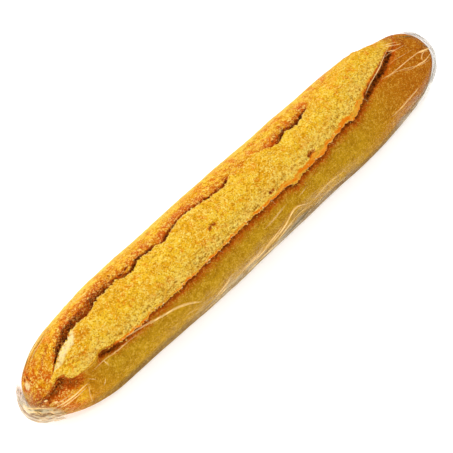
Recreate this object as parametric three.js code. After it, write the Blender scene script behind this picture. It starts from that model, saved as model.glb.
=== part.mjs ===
// A baguette sealed in clear stretch film, lying on its flat baked base.
// Millimetres, +Z up, +X along the loaf, origin at the middle of the base.
// One long slash has opened on top: the crumb between its edges rises as a rough tongue, whose
// near edge (-Y) curls over the crust as a ragged lip, while a torn crack splits its far edge (+Y).
// The film clings to the loaf and is drawn together in radial pleats at both noses.
import * as THREE from "three";

// Driving dimensions of the wrapped loaf.
const LENGTH = 400;
const HALF_WIDTH = 35.3;
const CRUST_TOP = 46.5; // height of the unslashed crust; the tongue stands above it
const CENTRE_Z = 21.5; // height of the widest line
const BASE_SINK = 2.5; // how far the round underside is pressed flat by the baking tray
const BASE_ROLL = 10; // height over which the skin's waves and pleats die out towards the base
const ROUNDNESS = { top: 2.15, side: 2.6 }; // superellipse exponents above and below the widest line

// The two noses: taper length, bluntness, and height of the point where the film is gathered.
const NEAR_NOSE = { taper: 88, bluntness: 2.27, gatherZ: 15 };
const FAR_NOSE = { taper: 97, bluntness: 2.83, gatherZ: 24 };
const PLEATS = { count: 9, height: 1.3, reach: 22 };

// The slash. Angles are degrees round the loaf from straight up, + towards +Y; x runs along the loaf.
// The lip's last flap ends in a notch near the -X nose.
const LIP_ANGLE = track([
  [-190, -30], [-184, -21], [-173, -12], [-167, -25], [-158, -29], [-142, -24], [-130, -29], [-61, -31], [20, -28],
  [38, -32], [75, -26], [103, -23], [129, -10], [160, 5], [176, 26], [184, 50],
]);
const CRACK_ANGLE = track([
  [-184, -9], [-174, -1], [-160, 11], [-147, 16], [-98, 19], [-90, 14], [-79, 20], [-58, 18], [-42, 24], [-28, 25],
  [-6, 15], [3, 17], [10, 23], [31, 24], [48, 13], [74, 15], [86, 18], [98, 26], [120, 42], [150, 58], [184, 66],
]);
const LIP_CURL = track([
  [-189, 0], [-182, 0.7], [-173, 0.8], [-165, 0.2], [-150, 0.15], [-142, 0.7], [-115, 1], [120, 1.1], [150, 0.9],
  [166, 0.6], [178, 0.3], [186, 0],
]);
const TONGUE_RISE = track([
  [-190, 0], [-180, 0.5], [-172, 0.75], [-140, 0.9], [-100, 1], [110, 1], [150, 0.75], [168, 0.5], [184, 0],
]);
// The crack is wide and deep near the -X nose, a hairline along the middle, and opens once more. Beyond,
// it has grown shut, and the tongue's far edge sinks into the far crust.
const CRACK_WIDTH = track([
  [-174, 0.6], [-168, 5], [-153, 8.6], [-130, 9.6], [-116, 8.6], [-104, 5], [-96, 2.2], [-60, 1.6], [40, 1.2],
  [46, 3.5], [56, 8], [66, 7.6], [76, 5], [86, 1.5],
]);
const CRACK_DEPTH = track([
  [-178, 0], [-170, 2.6], [-158, 5], [-126, 5.2], [-108, 4], [-96, 1.4], [-74, 3], [-60, 1.8], [-36, 2.7], [-4, 1.8],
  [12, 0.6], [34, 0.4], [44, 2], [54, 4.6], [70, 4.8], [80, 2.8], [92, 0],
]);
const CRACK_EDGE = track([[6, 1], [20, 0.8], [34, 0.8], [44, 1], [78, 1], [96, 0.6], [122, 0.25], [150, 0.1]]);
const NOSE_PIT = { x: -178, angle: -27, length: 13, width: 9, depth: 2.4 };

// Cross profile of the curled lip, as [along, out] from its edge: `flat` where nothing has opened.
const LIP_PROFILE = {
  flat: [[-9, 0], [-7, 0], [-5, 0], [-3, 0], [-1, 0], [1, 0], [3.5, 0], [8, 0]],
  curled: [[-7, 0], [-2, -0.3], [4.2, -1.8], [2.2, 1.5], [0, 2.3], [0.3, 3.5], [3, 5], [8, 5.8]],
};
const LIP_EDGE_INDEX = 5; // profile points before this one belong to the crust and the lip's underside
const TONGUE_LIFT = 5.4;
const TONGUE_SPAN = 26; // width of the open tongue
const FULL_SLASH = 0.8; // angle between lip and crack from which the slash has its full width
const NARROWEST = 0.05; // the least such angle, at the slash's ends
const SKIN_RADIUS = 30; // millimetres along the skin for each radian round it
const CRACK_EDGE_LIFT = 3.6;
const CRAGS = [{ cell: 9, height: 0.8 }, { cell: 4.5, height: 0.45 }];
const CRUST_WAVES = { cell: 34, height: 0.7 };
const RAGGED_EDGE = [{ cell: 9, swing: 0.5 }, { cell: 4, swing: 0.3 }];

// How finely the loaf is divided.
const STATIONS = 112;
const NEAR_CRUST_POINTS = 10;
const TONGUE_POINTS = 9;
const FAR_CRUST_POINTS = 9;

// A smooth curve through [x, value] knots, flat beyond its ends.
function track(knots) {
  const slope = (i) => {
    const before = knots[Math.max(i - 1, 0)];
    const after = knots[Math.min(i + 1, knots.length - 1)];
    return (after[1] - before[1]) / (after[0] - before[0]);
  };
  return (x) => {
    if (x <= knots[0][0]) return knots[0][1];
    if (x >= knots.at(-1)[0]) return knots.at(-1)[1];
    const i = knots.findIndex((knot) => knot[0] > x) - 1;
    const [x0, y0] = knots[i];
    const [x1, y1] = knots[i + 1];
    const h = x1 - x0;
    const t = (x - x0) / h;
    const s = 1 - t;
    return y0 * s * s * (1 + 2 * t) + y1 * t * t * (3 - 2 * t) + h * t * s * (slope(i) * s - slope(i + 1) * t);
  };
}

// Repeatable noise from -1 to 1 over the plane, smooth between whole numbers.
function noise(u, v) {
  const i = Math.floor(u);
  const j = Math.floor(v);
  const ease = (t) => t * t * (3 - 2 * t);
  const corner = (a, b) => {
    const raw = Math.sin(a * 127.1 + b * 311.7) * 43758.5453;
    return 2 * (raw - Math.floor(raw)) - 1;
  };
  const lerp = THREE.MathUtils.lerp;
  const near = lerp(corner(i, j), corner(i + 1, j), ease(u - i));
  const far = lerp(corner(i, j + 1), corner(i + 1, j + 1), ease(u - i));
  return lerp(near, far, ease(v - j));
}

// Share of the full section at x: 1 along the body, 0 at the tips.
function fullness(x) {
  const nose = x < 0 ? NEAR_NOSE : FAR_NOSE;
  const along = Math.max(0, (Math.abs(x) - LENGTH / 2 + nose.taper) / nose.taper);
  return Math.max(0, 1 - along * along) ** (1 / nose.bluntness);
}

// Signed power, for superellipses.
function bend(value, exponent) {
  return Math.sign(value) * Math.abs(value) ** (2 / exponent);
}

// Point of the unslashed crust at x and an angle in radians from straight up, as (sideways, height).
function crustPoint(x, angle) {
  const full = fullness(x);
  const nose = x < 0 ? NEAR_NOSE : FAR_NOSE;
  const centre = THREE.MathUtils.lerp(nose.gatherZ, CENTRE_Z, Math.min(1, full * 1.15));
  const above = Math.cos(angle) > 0;
  const reach = (above ? CRUST_TOP - CENTRE_Z : CENTRE_Z + BASE_SINK) * full ** 0.9;
  const roundness = above ? ROUNDNESS.top : ROUNDNESS.side;
  return new THREE.Vector2(
    HALF_WIDTH * full * bend(Math.sin(angle), ROUNDNESS.top),
    Math.max(0, centre + reach * bend(Math.cos(angle), roundness)),
  );
}

// Height of the film's pleats, sharp ridges that run into the gather at each tip.
function pleat(x, angle) {
  const gathered = THREE.MathUtils.smoothstep(Math.abs(x), LENGTH / 2 - PLEATS.reach, LENGTH / 2 - 4);
  const ridge = 1 - Math.abs(Math.sin((PLEATS.count / 2) * angle + 0.8 * noise(x / 9, 3)));
  return PLEATS.height * gathered * ridge * fullness(x);
}

// Depth of the broad pit beside the lip's last flap.
function nosePit(x, angle) {
  const away = (angle - THREE.MathUtils.degToRad(NOSE_PIT.angle)) * SKIN_RADIUS;
  const share = Math.hypot((x - NOSE_PIT.x) / NOSE_PIT.length, away / NOSE_PIT.width);
  return NOSE_PIT.depth * (1 - THREE.MathUtils.smoothstep(share, 0, 1));
}

// Point of the waved and pleated skin at x and `angle`, raised `out` of it, in millimetres.
function offCrust(x, angle, out) {
  const step = 0.01;
  const point = crustPoint(x, angle);
  const tangent = crustPoint(x, angle + step).sub(crustPoint(x, angle - step)).normalize();
  const waves = CRUST_WAVES.height * noise(x / CRUST_WAVES.cell, angle * 1.5) * fullness(x);
  const clearOfBase = THREE.MathUtils.smoothstep(point.y, 0, BASE_ROLL);
  const lift = out + (waves + pleat(x, angle) - nosePit(x, angle)) * clearOfBase;
  point.x -= tangent.y * lift;
  point.y = Math.max(0, point.y + tangent.x * lift);
  return point;
}

// Sideways wander of a torn edge at x, in millimetres.
function ragged(x, seed) {
  return RAGGED_EDGE.reduce((sum, { cell, swing }) => sum + swing * noise(x / cell, seed), 0);
}

function crags(x, side) {
  return CRAGS.reduce((sum, { cell, height }) => sum + height * noise(x / cell, side / cell + 17), 0);
}

// The loaf's outline at x, clockwise seen from -X: base, near crust, lip, tongue, crack, far crust.
function crossSection(x) {
  const lerp = THREE.MathUtils.lerp;
  const full = fullness(x);
  const curl = Math.max(0, LIP_CURL(x));
  const rise = Math.max(0, TONGUE_RISE(x));
  const depth = Math.max(0, CRACK_DEPTH(x)) * full;
  const width = CRACK_WIDTH(x);
  const edge = rise * CRACK_EDGE(x);
  const straightLip = THREE.MathUtils.degToRad(LIP_ANGLE(x));
  const straightCrack = THREE.MathUtils.degToRad(CRACK_ANGLE(x));
  // Where the slash narrows, everything across it narrows in step.
  const narrow = Math.min(1, Math.max(NARROWEST, straightCrack - straightLip) / FULL_SLASH);
  const across = (along) => (along * narrow) / SKIN_RADIUS;
  const lip = straightLip + across(ragged(x, 5) * curl);
  const crack = straightCrack + across(ragged(x, 11) * Math.min(1, depth / 2));

  const lipPoints = LIP_PROFILE.flat.map(([along], i) => {
    const [curledAlong, curledOut] = LIP_PROFILE.curled[i];
    const open = i < LIP_EDGE_INDEX ? curl : Math.max(curl * 0.6, rise);
    return offCrust(x, lip + across(lerp(along, curledAlong, open)), curledOut * open * full);
  });
  const tornEdge = CRACK_EDGE_LIFT * edge * (1 + 0.3 * noise(x / 6, 23));
  const crackPoints = [
    [-3.5, TONGUE_LIFT * 0.9 * edge],
    [-0.5, tornEdge],
    [width * 0.16, -0.7 * depth],
    [width * 0.45, -depth],
    [width * 0.9, -0.12 * depth],
    [width + 1.2, 0.6 * edge],
    [width + 4.5, 0.5 * edge],
  ].map(([along, out]) => offCrust(x, crack + across(along), out * full));

  const spread = (count, from, to, outAt) =>
    Array.from({ length: count }, (_, i) => offCrust(x, lerp(from, to, i / count), outAt(i / count)));
  const tongueOut = (share) => {
    const crown = TONGUE_LIFT * (1 + 0.08 * Math.sin(Math.PI * share));
    const held = lerp(rise, edge, THREE.MathUtils.smoothstep(share, 0.4, 1));
    return (crown + crags(x, share * TONGUE_SPAN)) * held * full;
  };
  const nearCrust = spread(NEAR_CRUST_POINTS, -Math.PI, lip + across(-10), () => 0);
  const tongue = spread(TONGUE_POINTS, lip + across(10), crack + across(-4), tongueOut);
  const farCrust = spread(FAR_CRUST_POINTS, crack + across(width + 8), Math.PI, () => 0);
  return [...nearCrust, ...lipPoints, ...tongue, ...crackPoints, ...farCrust];
}

// A closed skin through rings of equal length, drawn to a point at each end.
function loft(stations, ringAt, firstTip, lastTip) {
  const rings = stations.map(ringAt);
  const around = rings[0].length;
  const positions = rings.flatMap((ring, i) => ring.flatMap((point) => [stations[i], point.x, point.y]));
  const tips = [rings.length * around, rings.length * around + 1];
  positions.push(...firstTip, ...lastTip);
  const faces = [];
  for (let j = 0; j < around; j++) {
    const next = (j + 1) % around;
    faces.push(tips[0], j, next);
    for (let i = 0; i + 1 < rings.length; i++) {
      const a = i * around;
      const b = a + around;
      faces.push(a + j, b + next, a + next, a + j, b + j, b + next);
    }
    const last = (rings.length - 1) * around;
    faces.push(tips[1], last + next, last + j);
  }
  const geometry = new THREE.BufferGeometry();
  geometry.setAttribute("position", new THREE.Float32BufferAttribute(positions, 3));
  geometry.setIndex(faces);
  geometry.computeVertexNormals();
  return geometry;
}

// Stations crowd together towards the blunt tips.
const stations = Array.from({ length: STATIONS }, (_, i) => {
  const share = (i + 0.5) / STATIONS;
  const even = 2 * share - 1;
  const crowded = Math.sin((Math.PI / 2) * even);
  return (LENGTH / 2) * THREE.MathUtils.lerp(even, crowded, 0.35);
});

const loafGeometry = loft(
  stations,
  crossSection,
  [-LENGTH / 2, 0, NEAR_NOSE.gatherZ],
  [LENGTH / 2, 0, FAR_NOSE.gatherZ],
);
const crustMaterial = new THREE.MeshStandardMaterial({ color: "#c98a2a", roughness: 0.75, metalness: 0 });

const loaf = new THREE.Mesh(loafGeometry, crustMaterial);
loaf.name = "wrapped_baguette";

const baguette = new THREE.Group();
baguette.add(loaf);

export default baguette;
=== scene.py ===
import bisect
import math
import random

import bmesh
import bpy
from mathutils import Matrix, Vector, noise


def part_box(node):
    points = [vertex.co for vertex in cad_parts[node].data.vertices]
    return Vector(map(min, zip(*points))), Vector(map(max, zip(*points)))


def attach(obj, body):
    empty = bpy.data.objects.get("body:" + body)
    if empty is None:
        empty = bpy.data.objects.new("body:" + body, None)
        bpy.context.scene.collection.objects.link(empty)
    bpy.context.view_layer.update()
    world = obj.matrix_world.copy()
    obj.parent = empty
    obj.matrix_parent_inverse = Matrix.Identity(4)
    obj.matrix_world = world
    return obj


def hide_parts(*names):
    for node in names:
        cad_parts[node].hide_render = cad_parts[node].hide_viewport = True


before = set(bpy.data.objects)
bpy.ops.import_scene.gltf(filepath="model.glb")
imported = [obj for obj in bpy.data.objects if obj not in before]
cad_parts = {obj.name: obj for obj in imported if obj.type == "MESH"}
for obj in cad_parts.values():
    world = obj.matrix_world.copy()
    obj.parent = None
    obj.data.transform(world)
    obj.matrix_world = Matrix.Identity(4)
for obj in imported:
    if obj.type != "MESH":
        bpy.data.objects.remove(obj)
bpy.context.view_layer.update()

MM = 0.001
NODE = "wrapped_baguette"
LOW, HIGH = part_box(NODE)
END = (HIGH.x - LOW.x) / 2


def smooth(value, low, high):
    """0 at low, 1 at high, eased between."""
    share = min(1, max(0, (value - low) / (high - low)))
    return share * share * (3 - 2 * share)


def blend(a, b, share):
    return a + (b - a) * share


def track(*knots):
    """A smooth curve through (place, value) knots, flat beyond its ends."""
    places = [place for place, _ in knots]
    values = [value for _, value in knots]
    last = len(knots) - 1

    def slope(i):
        before, after = max(i - 1, 0), min(i + 1, last)
        return (values[after] - values[before]) / (places[after] - places[before])

    slopes = [slope(i) for i in range(last + 1)]

    def value_at(place):
        if place <= places[0]:
            return values[0]
        if place >= places[last]:
            return values[last]
        i = bisect.bisect_right(places, place) - 1
        span = places[i + 1] - places[i]
        t = (place - places[i]) / span
        s = 1 - t
        ends = values[i] * s * s * (1 + 2 * t) + values[i + 1] * t * t * (3 - 2 * t)
        return ends + span * t * s * (slopes[i] * s - slopes[i + 1] * t)

    return value_at


def wander(u, v):
    """Repeatable noise from -1 to 1 over the plane, smooth between whole numbers, as on the solid."""
    i, j = math.floor(u), math.floor(v)

    def corner(a, b):
        raw = math.sin(a * 127.1 + b * 311.7) * 43758.5453
        return 2 * (raw - math.floor(raw)) - 1

    across = smooth(u - i, 0, 1)
    near = blend(corner(i, j), corner(i + 1, j), across)
    far = blend(corner(i, j + 1), corner(i + 1, j + 1), across)
    return blend(near, far, smooth(v - j, 0, 1))


# ---------------------------------------------------------------------------------------------
# The loaf's round form. Tracks take x in millimetres, as the solid's do.
# ---------------------------------------------------------------------------------------------

CENTRE_Z = 21.5 * MM
CRUST_TOP = 46.5 * MM
BASE_SINK = 2.5 * MM
BASE_ROLL = 10 * MM
NOSE_BLUNTNESS = 2.27, 2.83  # of the -X nose and of the +X nose
GATHER_Z = 15 * MM, 24 * MM
TOP_ROUNDNESS = 2.15
CENTRE_RISE = 1.15  # how much faster the section's centre settles than its size
HEIGHT_POWER = 0.9  # the noses lose height a little later than width
CRUST_WAVE = 0.7 * MM
WAVE_LENGTH = 34 * MM
WAVES_ROUND = 1.5
ANGLE_STEP = 0.01  # radians to each side, for the way out of the skin


class Form:
    """The plain round form of the bread or of the film, without the slash."""

    def __init__(self, ends, tapers, half_width, under_roundness, lift, near_slack, far_slack):
        self.ends = ends
        self.tapers = tapers
        self.half_width = half_width
        self.under_roundness = under_roundness
        self.lift = lift
        self.near_slack = near_slack
        self.far_slack = far_slack

    def fullness(self, x):
        """Share of the full section at x: 1 along the body, 0 at the tips."""
        nose = 0 if x < 0 else 1
        along = max(0, (abs(x) - self.ends[nose] + self.tapers[nose]) / self.tapers[nose])
        return max(0, 1 - along * along) ** (1 / NOSE_BLUNTNESS[nose])

    def crust(self, x, full, angle):
        """Point of the crust's outline at x, as (sideways, height)."""
        gather = GATHER_Z[0 if x < 0 else 1]
        centre = blend(gather, CENTRE_Z, min(1, full * CENTRE_RISE))
        sine, cosine = math.sin(angle), math.cos(angle)
        reach = (CRUST_TOP - CENTRE_Z if cosine > 0 else CENTRE_Z + BASE_SINK) * full**HEIGHT_POWER
        roundness = TOP_ROUNDNESS if cosine > 0 else self.under_roundness
        slack = self.near_slack if sine < 0 else self.far_slack
        breadth = max(0, self.half_width * full - slack(x / MM) * MM)
        side = breadth * math.copysign(abs(sine) ** (2 / TOP_ROUNDNESS), sine)
        rise = reach * math.copysign(abs(cosine) ** (2 / roundness), cosine)
        return side, max(self.lift, centre + rise)

    def skin(self, x, full, angle, out):
        """Point of the waved crust at x and angle, raised out of it, and the way out."""
        side, height = self.crust(x, full, angle)
        ahead = self.crust(x, full, angle + ANGLE_STEP)
        behind = self.crust(x, full, angle - ANGLE_STEP)
        along_y, along_z = ahead[0] - behind[0], ahead[1] - behind[1]
        length = math.hypot(along_y, along_z) or 1
        outward = Vector((0, -along_z / length, along_y / length))
        waves = CRUST_WAVE * wander(x / WAVE_LENGTH, angle * WAVES_ROUND) * full
        rise = out + waves * smooth(height, 0, BASE_ROLL)
        point = Vector((x, side, height)) + outward * rise
        point.z = max(self.lift, point.z)
        return point, outward


# How far the near and far sides fall in from the plain round form, in millimetres, for the bread and then
# for the film.
NEAR_SLACK = track(
    (-193, 2), (-189, 3), (-184, 1.6), (-175, 0.8), (-165, 0.4), (-150, 0.3), (-128, 2.3), (-108, 2.3),
    (-88, 1.4), (-68, 0.2), (-50, 0), (60, -0.2), (88, -1), (108, -1), (128, 0), (148, 0), (168, -0.8),
    (182, -0.2), (190, 0.4), (196, 0),
)
FAR_SLACK = track(
    (-193, -1), (-187, -3), (-180, -3), (-168, -2.2), (-155, -2), (-146, -1.2), (-128, -1), (-108, -2.1),
    (-88, -2.3), (-68, -1.5), (-28, -1.9), (-8, -2.4), (8, -2.4), (28, -1.5), (48, -0.4), (68, -0.1),
    (88, 0.7), (108, 0.9), (128, 0.3), (148, -0.3), (158, 1), (168, 2.6), (178, 1.5), (186, 0), (196, 0),
)
FILM_NEAR_SLACK = track(
    (-198, 2.5), (-188, 3), (-178, 1), (-168, 0.2), (-150, 0.4), (-128, 2.5), (-108, 2.5), (-88, 1.6),
    (-68, 0.2), (-50, 0), (60, -0.2), (88, -1.2), (108, -1.3), (128, -0.3), (148, -0.4), (168, -2),
    (182, -1.2), (194, 0),
)
FILM_FAR_SLACK = track(
    (-195, 0), (-185, -0.6), (-168, -1), (-150, -0.4), (-130, 0), (150, 0), (168, 1.6), (182, 0.4),
)
BREAD = Form(
    ends=(END - 7 * MM, END - 3.2 * MM),  # short of the film at both noses
    tapers=(84 * MM, 95 * MM),
    half_width=34.3 * MM,
    under_roundness=2.25,
    lift=0.4 * MM,
    near_slack=NEAR_SLACK,
    far_slack=FAR_SLACK,
)
FILM = Form(
    ends=(END, END),
    tapers=(88 * MM, 97 * MM),
    half_width=35.2 * MM,
    under_roundness=2.6,
    lift=0.05 * MM,
    near_slack=FILM_NEAR_SLACK,
    far_slack=FILM_FAR_SLACK,
)


# ---------------------------------------------------------------------------------------------
# The slash. Angles are degrees, widths and heights millimetres, x millimetres.
# ---------------------------------------------------------------------------------------------

# The lip's outer edge. Near the -X nose it ends in a notch, and the last flap turns in round a pit.
LIP_ANGLE = track(
    (-190, -30), (-184, -21), (-178, -14), (-173, -11), (-170, -16), (-168, -25), (-164, -29), (-151, -29),
    (-142, -23.5), (-137, -27.5), (-130, -31), (-108, -34), (-101, -32), (-86, -31.6), (-61, -31),
    (-17, -29), (20, -28), (31, -29), (38, -32), (46, -30), (69, -29), (75, -26), (95, -22), (103, -23),
    (115, -18), (129, -10), (147, -3), (160, 5), (170, 14), (176, 26), (180, 42), (184, 58),
)
# The tongue's far edge, with the jogs where one torn crack ends beside the next.
CRACK_ANGLE = track(
    (-184, -9), (-174, -1), (-169, 3), (-160, 10), (-153, 13), (-147, 16), (-127, 17), (-119, 20.5),
    (-112, 20), (-98, 20), (-94, 17), (-86, 17), (-80, 21), (-64, 20), (-58, 17), (-52, 20), (-42, 24),
    (-28, 25), (-20, 22), (-6, 17), (3, 18), (10, 23), (20, 21), (31, 25), (38, 21), (45, 15), (50, 12),
    (56, 14), (62, 16), (70, 14), (76, 15.5), (86, 21), (96, 27), (120, 42), (150, 58), (176, 66), (184, 68),
)
# How far the lip has curled open, and how wide its rim is.
LIP_CURL = track(
    (-187, 0), (-183, 0.25), (-178, 0.6), (-172, 0.8), (-168, 0.35), (-162, 0.12), (-149, 0.12),
    (-143, 0.6), (-136, 0.9), (-115, 1), (120, 1.1), (150, 0.9), (166, 0.6), (178, 0.3), (186, 0),
)
RIM_WIDTH = track(
    (-145, 1), (-110, 1.5), (-70, 1.1), (-20, 1.3), (22, 2), (36, 3.6), (54, 3.2), (61, 4.8), (70, 4),
    (79, 2), (92, 3), (114, 3.4), (131, 2), (150, 1.2), (180, 0.8),
)
TONGUE_RISE = track(
    (-190, 0), (-180, 0.5), (-172, 0.75), (-140, 0.9), (-100, 1), (110, 1), (150, 0.75), (168, 0.5),
    (184, 0),
)
# The crack is wide and deep near the -X nose, a broken hairline along the middle, opens once more, and has
# grown shut beyond: from there the tongue's far edge sinks into the far crust.
CRACK_WIDTH = track(
    (-174, 0.4), (-168, 2.8), (-163, 4.4), (-157, 6.8), (-151, 8.4), (-130, 8.6), (-118, 6.8), (-106, 5),
    (-97, 3.4), (-84, 3.3), (-70, 3.7), (-60, 2.9), (-44, 3.4), (-28, 3.2), (-14, 2.8), (0, 3), (10, 2),
    (40, 1.6), (48, 2.4), (55, 3.6), (64, 4), (72, 4), (80, 3.2), (87, 2.2), (93, 0.6),
)
CRACK_DEPTH = track(
    (-178, 0), (-170, 2.2), (-158, 4.4), (-126, 4.8), (-108, 3.6), (-97, 2), (-88, 2), (-80, 2.8),
    (-66, 2.8), (-60, 2), (-44, 2.6), (-30, 2.4), (-20, 1.6), (-4, 1.8), (4, 1.2), (12, 0.5), (34, 0.3),
    (46, 1.2), (57, 3), (70, 3.2), (78, 2.4), (88, 0.6), (98, 0),
)
# How high the tongue's torn edge stands along the crack.
CRACK_EDGE = track(
    (-184, 0), (-176, 0.1), (-171, 0.55), (-165, 1), (-120, 1), (-100, 0.8), (6, 0.75), (20, 0.6),
    (34, 0.7), (46, 0.9), (54, 0.6), (76, 0.6), (84, 0.7), (96, 0.6), (122, 0.25), (150, 0.1),
)
# How dark the crack is painted: painted shade, black-brown pockets in rust.
CRACK_SHADE = track(
    (-172, 0.2), (-168, 0.9), (-152, 1), (-149, 0.75), (-143, 1), (-139, 0.8), (-134, 0.35), (-126, 0.3),
    (-120, 0.75), (-116, 1), (-109, 1), (-105, 0.35), (-101, 0.9), (-96, 0.9), (-90, 0.5), (-84, 1),
    (-70, 1), (-62, 0.5), (-44, 0.9), (-30, 0.9), (-24, 0.4), (-12, 0.7), (4, 0.5), (20, 0.3), (44, 0.3),
    (53, 0.4), (59, 0.95), (78, 1), (86, 0.6), (96, 0.2),
)
# How pale the crumb is where it slopes into the crack, and how dark the far crust is beside it.
CRACK_PALE = track(
    (-185, 0.1), (-174, 0.4), (-167, 1), (-151, 1), (-143, 0.6), (-130, 0.35), (-100, 0.3), (-60, 0.35),
    (-30, 0.5), (0, 0.4), (20, 0.1), (60, 0.1), (74, 0.5), (88, 0.1),
)
FAR_SCORCH = track(
    (-195, 0.8), (-174, 0.75), (-158, 0.65), (-140, 0.9), (-120, 0.85), (-60, 0.75), (0, 0.65), (40, 0.65),
    (80, 0.9), (110, 0.45), (150, 0.35), (176, 0.6), (190, 0.6),
)

FULL_SLASH = 0.8  # radians between lip and crack from which the slash has its full width
SKIN_RADIUS = 30  # millimetres along the skin for each radian round it
NARROWEST = 0.05  # radians
TONGUE_LIFT = 5.4
CROWN = 1.1  # the tongue's middle, as a share of its lift
CRACK_EDGE_LIFT = 3.6
TORN_STEPS = (9, 0.35), (4, 0.35), (1.9, 0.4), (1, 0.3)  # length and swing of a torn edge's wanders
LIP_SEED, CRACK_SEED = 5, 11


def ragged(x, seed):
    """Sideways wander of a torn edge at x, in millimetres."""
    return sum(swing * wander(x / length, seed) for length, swing in TORN_STEPS)


class Slash:
    """Where the lip and the crack are at x, and how far each has opened."""

    def __init__(self, x):
        self.curl = max(0, LIP_CURL(x))
        self.rise = max(0, TONGUE_RISE(x))
        self.depth = max(0, CRACK_DEPTH(x))
        self.width = CRACK_WIDTH(x)
        straight_lip = math.radians(LIP_ANGLE(x))
        straight_crack = math.radians(CRACK_ANGLE(x))
        self.narrow = min(1, max(NARROWEST, straight_crack - straight_lip) / FULL_SLASH)
        self.lip = straight_lip + self.across(ragged(x, LIP_SEED) * self.curl)
        self.crack = straight_crack + self.across(ragged(x, CRACK_SEED) * min(1, self.depth / 2))

    def across(self, along):
        """The angle that a width along the skin takes up."""
        return along * self.narrow / SKIN_RADIUS


def lip_profile(rim):
    """The curled lip from the crust to the tongue, its rim that wide. The darkening under the lip is painted
    shade that the overhang casts on the crust, and the pale at the lip's edge is a painted highlight line.

    Columns to the next point, millimetres along the skin from the lip's edge, millimetres out of the
    crust, and the masks there.
    """
    return (
        (5, -11, 0, {"torn": 0.02}),
        (4, -6.5, -0.1, {"torn": 0.1}),
        (3, -3.6, -0.3, {"torn": 0.24}),
        (3, -1.6, -0.6, {"torn": 0.5}),
        (3, 1.2, -1.0, {"torn": 0.85}),
        (3, 3.0, -1.0, {"torn": 1}),
        (3, 3.2, 0.4, {"torn": 1}),
        (3, 1.7, 1.4, {"torn": 0.8, "rim": 0.3}),
        (2, 0.5, 2.0, {"torn": 0.25, "rim": 0.9, "pale": 0.1}),
        (2, 0, 2.6, {"rim": 1, "pale": 0.5}),
        (2, 0.25, 3.3, {"rim": 0.9, "pale": 0.15}),
        (3, rim * 0.45, 4.1, {"rim": 0.9}),
        (3, rim * 0.85, 4.5, {"rim": 0.7, "crumb": 0.3}),
        (3, rim + 0.5, 4.2, {"rim": 0.2, "crumb": 1, "porous": 0.8}),
        (6, rim + 2, 4.5, {"crumb": 1, "porous": 1}),
        (4, rim + 5, 5.1, {"crumb": 1, "porous": 0.7}),
        (1, rim + 8, 5.6, {"crumb": 1, "porous": 0.1}),
    )


LIP_EDGE = 8  # the profile points before this one belong to the crust and the lip's underside


def crack_profile(slash, x):
    """The crack from the tongue to the far crust, in the lip profile's terms, from the crack's near edge."""
    pale, scorch = CRACK_PALE(x), FAR_SCORCH(x)
    wide, deep = slash.width, slash.depth
    height = slash.rise * CRACK_EDGE(x)
    edge = CRACK_EDGE_LIFT * height * (1 + 0.3 * wander(x / 6, 23))
    slope = 0.8 + 2.6 * smooth(pale, 0.4, 1)
    bare = smooth(pale, 0.5, 1)
    # How much painted shade the crack takes: more where it is deeper, darkest in its black-brown pockets.
    torn = min(1, deep / 1.2)
    shut = 1 - torn
    gloom = torn * min(1, max(0, CRACK_SHADE(x) + 0.3 * wander(x / 2.3, 41)))
    ember = torn * max(0, 0.14 + 0.3 * wander(x / 3.5, 31))
    far_shut = shut * CRACK_EDGE(x)
    return (
        (4, -3.5 - slope, 5.5 * height, {"crumb": 1}),
        (4, -1.4 - slope * 0.6, 4.9 * height, {"crumb": 1, "pale": pale * bare, "porous": 0.8 * bare}),
        (4, -0.5, edge, {"crumb": 1, "pale": pale, "porous": 0.8 * bare}),
        (3, 0, edge * 0.5, {"crumb": 0.5 + 0.5 * shut, "torn": 0.5 * gloom, "pale": 0.7 * pale}),
        (3, wide * 0.16, -deep * 0.75, {"torn": 0.4 * torn + 0.6 * gloom, "crumb": shut}),
        (3, wide * 0.36, -deep, {"torn": 0.45 * torn + 0.55 * gloom, "crumb": shut}),
        (4, wide * 0.66, -deep * 0.6, {"torn": 0.4 * torn + 0.6 * gloom, "scorch": scorch, "crumb": shut}),
        (3, wide * 0.94, -deep * 0.15, {"torn": 0.2 * torn + 0.5 * gloom, "scorch": scorch, "crumb": shut}),
        (3, wide + 0.5, 0.5 * height, {"torn": ember, "scorch": scorch, "crumb": 0.8 * far_shut}),
        (5, wide + 4, 0.5 * height, {"torn": 0.4 * ember, "scorch": scorch, "crumb": 0.4 * far_shut}),
        (1, wide + 10, 0, {"scorch": scorch * 0.55, "crumb": 0.1 * far_shut}),
    )
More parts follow.
